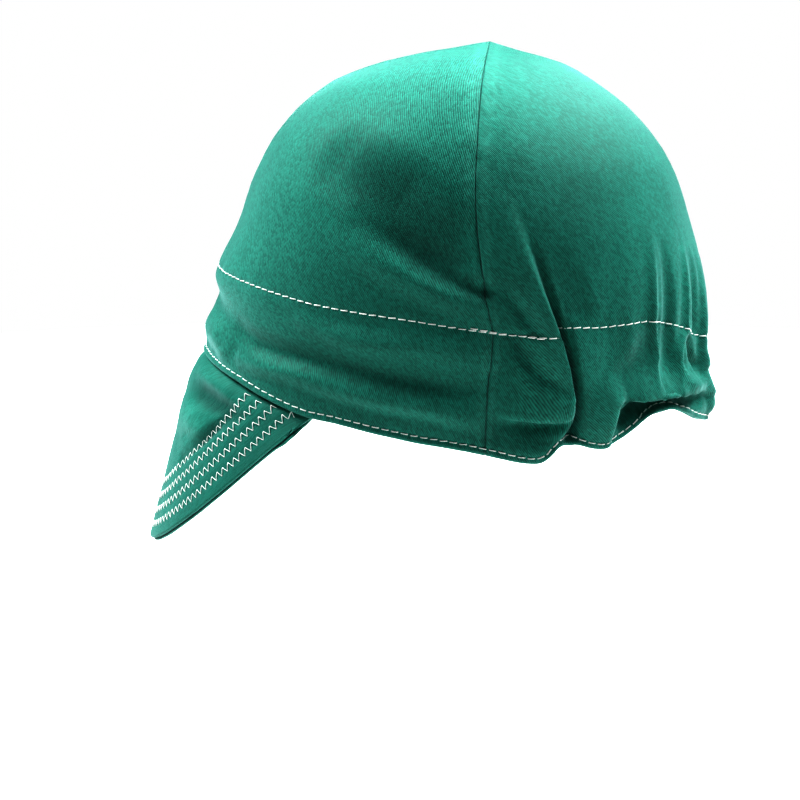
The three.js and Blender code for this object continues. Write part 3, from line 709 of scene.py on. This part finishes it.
def facing_points(turns):
    """Points of the band's visible face in rows, and their heights, their turns and the way out there"""
    rows = facing_rows()
    turns = np.tile(turns, (len(rows), 1))
    ups = np.array([up_at(turn) for (up_at, _), turn in zip(rows, turns)])
    behind = np.array([row[1] for row in rows])[:, None]
    push = fold_push(turns, ups)[0]
    close = from_around(push, 2, 1, np.mean)
    bridge = from_around(from_around(push, 4, 3, np.min), 4, 3, np.mean)
    from_hem = ups - hem_stitch_up(turns)
    from_band = ups - band_stitch_up(turns)
    held = np.exp(-((from_hem / 5) ** 2)) + np.exp(-((from_band / 4) ** 2))
    drawn = 0.35 * (np.exp(-((from_hem / FURROW_WIDTH) ** 2)) + np.exp(-((from_band / FURROW_WIDTH) ** 2)))
    give = ((1 - ease(np.abs(turns), *GIVE_WAY_TURN))
            * (1 - ease(ups - line_up("edge", turns), *GIVE_WAY_UP)))
    points = smooth_point(turns, ups)
    loose = 0.5 * soft_noise(points, 22, start=90) + 0.3 * soft_noise(points, 7, tall=4, start=30)
    depth = FACING_DEPTH - behind + 2 * (PLY_WALL + LAYER_GAP) * give - drawn + np.abs(loose) * (1 - held)
    lift = bridge + (close - bridge) * np.clip(held, 0, 1) - depth
    out = directions(smooth_point, turns, ups)[2]
    return points + out * lift[..., None], ups, turns, out


facing_run = np.linspace(0, AROUND_BAND[-1], FACING_COLUMNS + 1)
facing_face, facing_ups, facing_turns, facing_out = facing_points(
    np.interp(facing_run[:-1], AROUND_BAND, ALL_TURNS))
facing_flat = np.stack(np.broadcast_arrays(
    facing_run[None, :], np.hstack([facing_ups, facing_ups[:, :1]])), axis=-1)
facing_wear = 0.5 * np.exp(-((facing_ups - line_up("edge", facing_turns)) / 2) ** 2)
inner_band = grid_mesh("inner_band", facing_face[:, ::-1], facing_flat[:, ::-1], facing_wear[:, ::-1],
                       closed=True)
give_thickness(inner_band, CLOTH)
inner_band.data.materials.append(cloth_look("inner_sateen", FACING_GREEN, 0.4))
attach(inner_band, "root")
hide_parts("band_facing")

# Peak
# Two plies of the same cloth, interlined and sewn together along the rim, turned right side out and
# quilted with zigzag rows. Its root is tucked up between the shell's hem and the inner band.
PEAK_TURN = 56
PEAK_BLUNT = 2.5
PEAK_HALF_WIDTH = 65
PEAK_CORNER = (-63, 10)
PEAK_TIP = (-132.5, -54)
PEAK_SWELL = 2
PEAK_TUCK = 5
PEAK_TUCK_ROWS = (0.4, 1)
PEAK_LENGTH = 85
PEAK_ROOT_SHARE = 0.3
PEAK_ROWS = 84
PEAK_COLUMNS = 220
RIM_ROLL = 1.05
RIM_CURL = 2
RIM_PROUD = 0.7
RIM_WEAR_WIDTH = 1.8
RIM_ROWS = 10
RIM_STEPS = 2001
ROOT_STEPS = 561
ROOT_PUFF = 4.4
ROOT_PUFF_REACH = 0.12
DENT_SHADE_AND_HIGHLIGHT_HEIGHT = 1.8
QUILT_LINES = (24, 18, 12, 6)
QUILT_DEPTH = 0.28
QUILT_WIDTH = 1.5
QUILTED = (22, 34)
PLY_CLOTH = 1.0
UNDER_DEPTH = 2 * PLY_WALL + LAYER_GAP
PEAK_GREEN = (0.015, 0.195, 0.151, 1)

# Dents and swellings of the padding, with up as the distance out from the root
PEAK_FOLDS = [
    Fold([(14, 4, 0.4, 0), (22, 4, 1, 0), (31, 4.5, 0.8, 0)], 6, 6),
    Fold([(9, 12, -0.2, 0), (14, 12.5, -1, 0), (20, 13.5, -2.2, 0), (26, 14.5, -2.6, 0), (32, 17, -2.2, 0),
          (37, 21, -0.8, 0)], 8, 9),
    Fold([(2, 27, 0.2, 0), (12, 25.5, 1.5, 0), (20, 27, 2.2, 0), (23, 31, 1.8, 0), (22, 37, 0.6, 0)],
         12, 12),
    Fold([(36, 22, -0.6, 0), (31, 31, -1.6, 0), (27, 38, -1.6, 0), (20, 46, -0.8, 0)], 6, 6),
    Fold([(-38, 18, -0.8, 0), (-28, 14, -1.8, 0), (-14, 14, -1.6, 0), (-4, 18, -0.6, 0)], 7, 8),
    Fold([(-30, 32, 0.6, 0), (-18, 30, 1.2, 0), (-6, 36, 0.8, 0)], 9, 9),
]


def peak_rim(turn):
    """A point of the peak's rim"""
    sweep = np.radians(90 * turn / (PEAK_TURN + PEAK_BLUNT))
    return np.stack([
        PEAK_HALF_WIDTH * np.sin(sweep),
        PEAK_CORNER[0] + (PEAK_TIP[0] - PEAK_CORNER[0]) * np.cos(sweep),
        PEAK_CORNER[1] + (PEAK_TIP[1] - PEAK_CORNER[1]) * np.cos(sweep),
    ], axis=-1)


def read_along(values, places, at):
    """The values, a row at each place, at other places between them"""
    return np.stack([np.interp(at, places, column) for column in values.T], axis=-1)


ROOT_TURNS = np.linspace(-PEAK_TURN, PEAK_TURN, ROOT_STEPS)
ROOT_OUT = directions(cloth_point, ROOT_TURNS, line_up("edge", ROOT_TURNS))[2]
ROOT = cloth_point(ROOT_TURNS, line_up("edge", ROOT_TURNS)) - ROOT_OUT * (SHELL_WALL + LAYER_GAP)


def peak_root(turn):
    """A point where the peak's top face comes out from under the lower edge"""
    return read_along(ROOT, ROOT_TURNS, turn)


def peak_run(turn):
    """How long the peak is from its root to its rim"""
    return np.linalg.norm(peak_root(turn) - peak_rim(turn), axis=-1)


def peak_point(turn, out):
    """A point of the peak's top face, from its root (out 0) to its rim (out 1)"""
    sweep = np.radians(90 * turn / (PEAK_TURN + PEAK_BLUNT))
    puff = out / ROOT_PUFF_REACH * np.exp(1 - out / ROOT_PUFF_REACH)
    swell = (4 * PEAK_SWELL * out * (1 - out) + ROOT_PUFF * puff) * np.cos(sweep)
    ahead = np.stack([np.sin(sweep), -np.cos(sweep), np.zeros_like(sweep)], axis=-1)
    root = peak_root(turn)
    return root + (peak_rim(turn) - root) * out[..., None] + ahead * swell[..., None]


def peak_out(turn, out):
    """The way out of the peak's top face, which eases from the shell's own at the root"""
    inside = np.clip(turn, PEAK_BLUNT - PEAK_TURN, PEAK_TURN - PEAK_BLUNT)
    shell = read_along(ROOT_OUT, ROOT_TURNS, turn)
    ply = directions(lambda at, rise: peak_point(at, out - rise / PEAK_LENGTH),
                     inside, np.zeros_like(inside))[2]
    blend = ease(out, 0, PEAK_ROOT_SHARE)[..., None]
    return unit(shell * (1 - blend) + ply * blend)


RIM = kdtree.KDTree(RIM_STEPS)
for step, rim_point in enumerate(peak_rim(np.linspace(-PEAK_TURN, PEAK_TURN, RIM_STEPS))):
    RIM.insert(rim_point, step)
RIM.balance()


def rim_distance(turn, out):
    """How far places on the peak's top face are from its rim"""
    points = peak_point(turn, out)
    return np.array([RIM.find(point)[2] for point in points.reshape(-1, 3)]).reshape(points.shape[:-1])


def peak_relief(turn, out, from_rim):
    """The padding's soft dents, and the furrows that the zigzag rows draw in"""
    points = peak_point(turn, out)
    plain = ease(from_rim, *QUILTED)
    relief = plain * (0.7 * soft_noise(points, 26, start=11) + 0.25 * soft_noise(points, 9, start=50))
    relief += fold_push(turn, out * PEAK_LENGTH, PEAK_FOLDS)[0]
    for offset in QUILT_LINES:
        relief -= QUILT_DEPTH * np.exp(-(((from_rim - offset) / QUILT_WIDTH) ** 2))
    return relief + 0.12 * soft_noise(points, 5, start=70)


def peak_layer(turn, out, below):
    """A point of the peak at a depth below its top face"""
    relief = peak_relief(turn, out, rim_distance(turn, out))
    return peak_point(turn, out) + peak_out(turn, out) * (relief - below)[..., None]


def peak_ply(name, depth, side):
    """One ply, its face at a depth below the top face. Side is 1 for the upper one, -1 for the lower."""
    turns = np.linspace(-PEAK_TURN, PEAK_TURN, PEAK_COLUMNS + 1)
    run = peak_run(turns)
    roll = np.minimum(RIM_ROLL, run / 3)
    reach = 1 + (side < 0) * roll / RIM_ROLL * RIM_PROUD / run
    rows = []
    for angle in np.linspace(RIM_CURL, 0, RIM_ROWS):
        rows.append((reach - roll * (1 - math.sin(angle)) / run,
                     depth + side * roll * (1 - math.cos(angle))))
    for step in range(1, PEAK_ROWS + 1):
        share = 1 - step / PEAK_ROWS
        rows.append(((reach - roll / run) * share, np.full(turns.shape, depth)))
    points = np.array([peak_layer(turns, out, below) for out, below in rows])
    dents = np.array([fold_push(turns, out * PEAK_LENGTH, PEAK_FOLDS)[0] for out, _ in rows])
    for share in PEAK_TUCK_ROWS:
        tucked = line_up("edge", turns) + PEAK_TUCK * share
        points = np.vstack([points, layer_point(turns, tucked, SHELL_WALL + LAYER_GAP + depth)[None]])
    across = np.linalg.norm(np.diff(points, axis=1), axis=-1)
    across = np.hstack([np.zeros((len(points), 1)), np.cumsum(across, axis=1)])
    across -= across[:, -1:] / 2
    down = np.cumsum(np.linalg.norm(np.diff(points, axis=0), axis=-1), axis=0)
    down = np.vstack([np.zeros((1, len(turns))), down])
    cloth = np.stack([across, -down], axis=-1)
    wear_and_shading = 0.6 * np.exp(-(down / RIM_WEAR_WIDTH) ** 2)
    # The padding's dents go below 0, which paints shade into them, and its swellings go above 0, which
    # paints a highlight on them.
    wear_and_shading[:len(rows)] += np.clip(dents / DENT_SHADE_AND_HIGHLIGHT_HEIGHT, -1, 1)
    if side < 0:
        points, cloth, wear_and_shading = points[:, ::-1], cloth[:, ::-1], wear_and_shading[:, ::-1]
    return grid_mesh(name, points, cloth, wear_and_shading)


peak_look = cloth_look("peak_sateen", PEAK_GREEN, 0.34)
peak_top = peak_ply("peak_top", 0, 1)
peak_under = peak_ply("peak_under", UNDER_DEPTH, -1)
for piece, node in ((peak_top, "peak_upper_ply"), (peak_under, "peak_lower_ply")):
    give_thickness(piece, PLY_CLOTH)
    piece.data.materials.append(peak_look)
    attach(piece, "root")
    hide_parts(node)

# Stitches
# All of the topstitching is in white cotton thread. One stitch is modelled lying along X, its ends
# diving into the cloth, and it is copied along the lockstitch lines and the peak's zigzag rows.
THREAD = 0.55
STITCH_SLANT = 0.12
STITCH_DASH = 0.8
STITCH_LIFT = 0.05
STITCH_LIFT_INSIDE = 0.1
TACK_TURNS = np.linspace(86.5, 98.5, 121)
TACK_RISE = 0.9
TACK_SLANT = 0.12
ZIGZAG_WIDTH = 3
ZIGZAG_WANDER = 0.2
ZIGZAG_THREAD = 0.36
ZIGZAG_PITCH = 3.4
ZIGZAG_END = 52.5
ZIGZAG_CLEAR = 0.8
STITCH_STEPS = [(0.06, 0.5), (0.14, 0.35), (0.3, 0.1), (0.3, -0.1), (0.14, -0.35), (0.06, -0.5)]
THREAD_SOILED = (0.8, 0.85, 0.82, 1)
THREAD_WHITE = (0.96, 0.96, 0.94, 1)
bpy.ops.mesh.primitive_circle_add(vertices=6, radius=0.5, fill_type="NGON", location=(0, 0, 0),
                                  rotation=(0, math.pi / 2, 0))
stitch = bpy.context.object
bpy.ops.object.transform_apply(location=False, rotation=True, scale=False)
bpy.ops.object.mode_set(mode="EDIT")
bpy.ops.mesh.select_all(action="SELECT")
bpy.ops.transform.resize(value=(1, 1.1, 0.85))
bpy.ops.transform.translate(value=(-0.5, 0, -0.55))
reached = Vector((-0.5, 0, -0.55))
for run, lift in STITCH_STEPS:
    reached += Vector((run, 0, lift))
    bpy.ops.mesh.extrude_region_move(TRANSFORM_OT_translate={"value": (run, 0, lift)})
    bpy.ops.transform.rotate(value=0.7, orient_axis="X", center_override=reached)
bpy.ops.mesh.select_all(action="SELECT")
bpy.ops.mesh.normals_make_consistent(inside=False)
bpy.ops.object.mode_set(mode="OBJECT")
stitch_points = np.array([vert.co for vert in stitch.data.vertices])
stitch_faces = [list(face.vertices) for face in stitch.data.polygons]
bpy.data.objects.remove(stitch)
thread_look = bpy.data.materials.new("white_thread")
thread_look.use_nodes = True
thread_surface = thread_look.node_tree.nodes["Principled BSDF"]
thread_surface.inputs["Roughness"].default_value = 0.7
thread_surface.inputs["Sheen Weight"].default_value = 0.2
thread_spot = add_node(thread_look.node_tree, "ShaderNodeTexCoord")
thread_soil = add_node(thread_look.node_tree, "ShaderNodeTexNoise", None,
                       {"Vector": thread_spot.outputs["Object"], "Scale": 900.0, "Detail": 2.0})
thread_colour = add_node(thread_look.node_tree, "ShaderNodeMix", {"data_type": "RGBA"},
                         {"Factor": thread_soil.outputs["Fac"], 6: THREAD_SOILED, 7: THREAD_WHITE})
thread_look.node_tree.links.new(thread_colour.outputs[2], thread_surface.inputs["Base Color"])


def lay_thread(name, starts, ends, outs, thread=THREAD):
    """Copies the stitch from each start to its end, lying on a surface that faces out"""
    along = ends - starts
    length = np.linalg.norm(along, axis=-1, keepdims=True)
    along = along / length
    up = unit(outs - along * np.sum(outs * along, axis=-1, keepdims=True))
    across = np.cross(up, along)
    middle = (starts + ends) / 2
    shape = stitch_points[None]
    points = (middle[:, None] + (along * length)[:, None] * shape[..., :1]
              + thread * (across[:, None] * shape[..., 1:2] + up[:, None] * shape[..., 2:]))
    faces = [[vertex + copy * len(stitch_points) for vertex in face]
             for copy in range(len(starts)) for face in stitch_faces]
    mesh = bpy.data.meshes.new(name)
    mesh.from_pydata(((points.reshape(-1, 3) + CAP_PLACE) * MM).tolist(), [], faces)
    row = bpy.data.objects.new(name, mesh)
    bpy.context.scene.collection.objects.link(row)
    mesh.shade_smooth()
    mesh.materials.append(thread_look)
    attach(row, "root")


def straight_row(name, path, outs):
    """A row of straight stitches along a path of points"""
    run = run_along(path)
    count = round(run[-1] / STITCH_PITCH)
    first = np.arange(count) * run[-1] / count
    last = first + STITCH_DASH * run[-1] / count
    starts = read_along(path, run, first)
    ends = read_along(path, run, last)
    facing_way = read_along(outs, run, last)
    slant = (STITCH_SLANT + 0.2 * soft_noise(starts, 3, start=5))[:, None]
    slant = unit(np.cross(facing_way, ends - starts)) * slant
    lay_thread(name, starts - slant, ends + slant, facing_way)


def shell_row(name, turns, up_at):
    """A row of straight stitches on the shell's outer face"""
    path = layer_point(turns, up_at(turns), -STITCH_LIFT)
    straight_row(name, path, directions(cloth_point, turns, up_at(turns))[2])


def tack_up(turn):
    """How high up the cloth the tack over the left side seam lies"""
    return band_stitch_up(turn) + TACK_RISE - (turn - TACK_TURNS[0]) * TACK_SLANT


shell_row("band_stitches", ALL_TURNS, band_stitch_up)
shell_row("hem_stitches", ALL_TURNS, hem_stitch_up)
shell_row("tack_stitches", TACK_TURNS, tack_up)
facing_ring = np.append(np.arange(FACING_COLUMNS), 0)
folded_rows = FACING_ROLL_STEPS + 2
for name, line in (("band_stitches_inside", band_stitch_up), ("hem_stitches_inside", hem_stitch_up)):
    away = np.abs(facing_ups - line(facing_turns))
    away[:folded_rows] = np.inf
    away[-folded_rows:] = np.inf
    at = np.argmin(away, axis=0)[facing_ring]
    inwards = -facing_out[at, facing_ring]
    straight_row(name, facing_face[at, facing_ring] + STITCH_LIFT_INSIDE * inwards, inwards)


def zigzag_path(offset):
    """Turns and shares out to the rim of a line on the peak at one distance from its rim"""
    turns = np.linspace(-PEAK_TURN, PEAK_TURN, 281)
    outs = np.linspace(0, 1, 81)
    away = rim_distance(*np.meshgrid(turns, outs, indexing="ij"))
    inside = np.flatnonzero((away[:, 0] > offset + ZIGZAG_CLEAR) & (np.abs(turns) < ZIGZAG_END))
    out = [np.interp(offset, away[i, ::-1], outs[::-1]) for i in inside]
    return turns[inside], np.array(out)


for number, offset in enumerate(QUILT_LINES, 1):
    turns, outs = zigzag_path(offset)
    path = peak_point(turns, outs)
    run = run_along(path)
    count = 2 * round(run[-1] / ZIGZAG_PITCH)
    at = np.linspace(0, run[-1], count + 1)
    turns = np.interp(at, run, turns)
    outs = np.interp(at, run, outs)
    path = read_along(path, run, at)
    facing_way = peak_out(turns, outs)
    across = unit(np.cross(facing_way, np.gradient(path, axis=0)))
    sway = np.where(np.arange(count + 1) % 2, 1, -1) * ZIGZAG_WIDTH / 2
    sway = sway + ZIGZAG_WANDER * soft_noise(path, 3, start=33 + number)
    relief = peak_relief(turns, outs, offset + sway)
    for side, below in ((1, -STITCH_LIFT), (-1, UNDER_DEPTH + STITCH_LIFT)):
        points = path + across * sway[:, None] + facing_way * (relief - below)[:, None]
        name = f"zigzag_{number}_{'top' if side > 0 else 'under'}"
        lay_thread(name, points[:-1], points[1:], side * facing_way[:-1], ZIGZAG_THREAD)
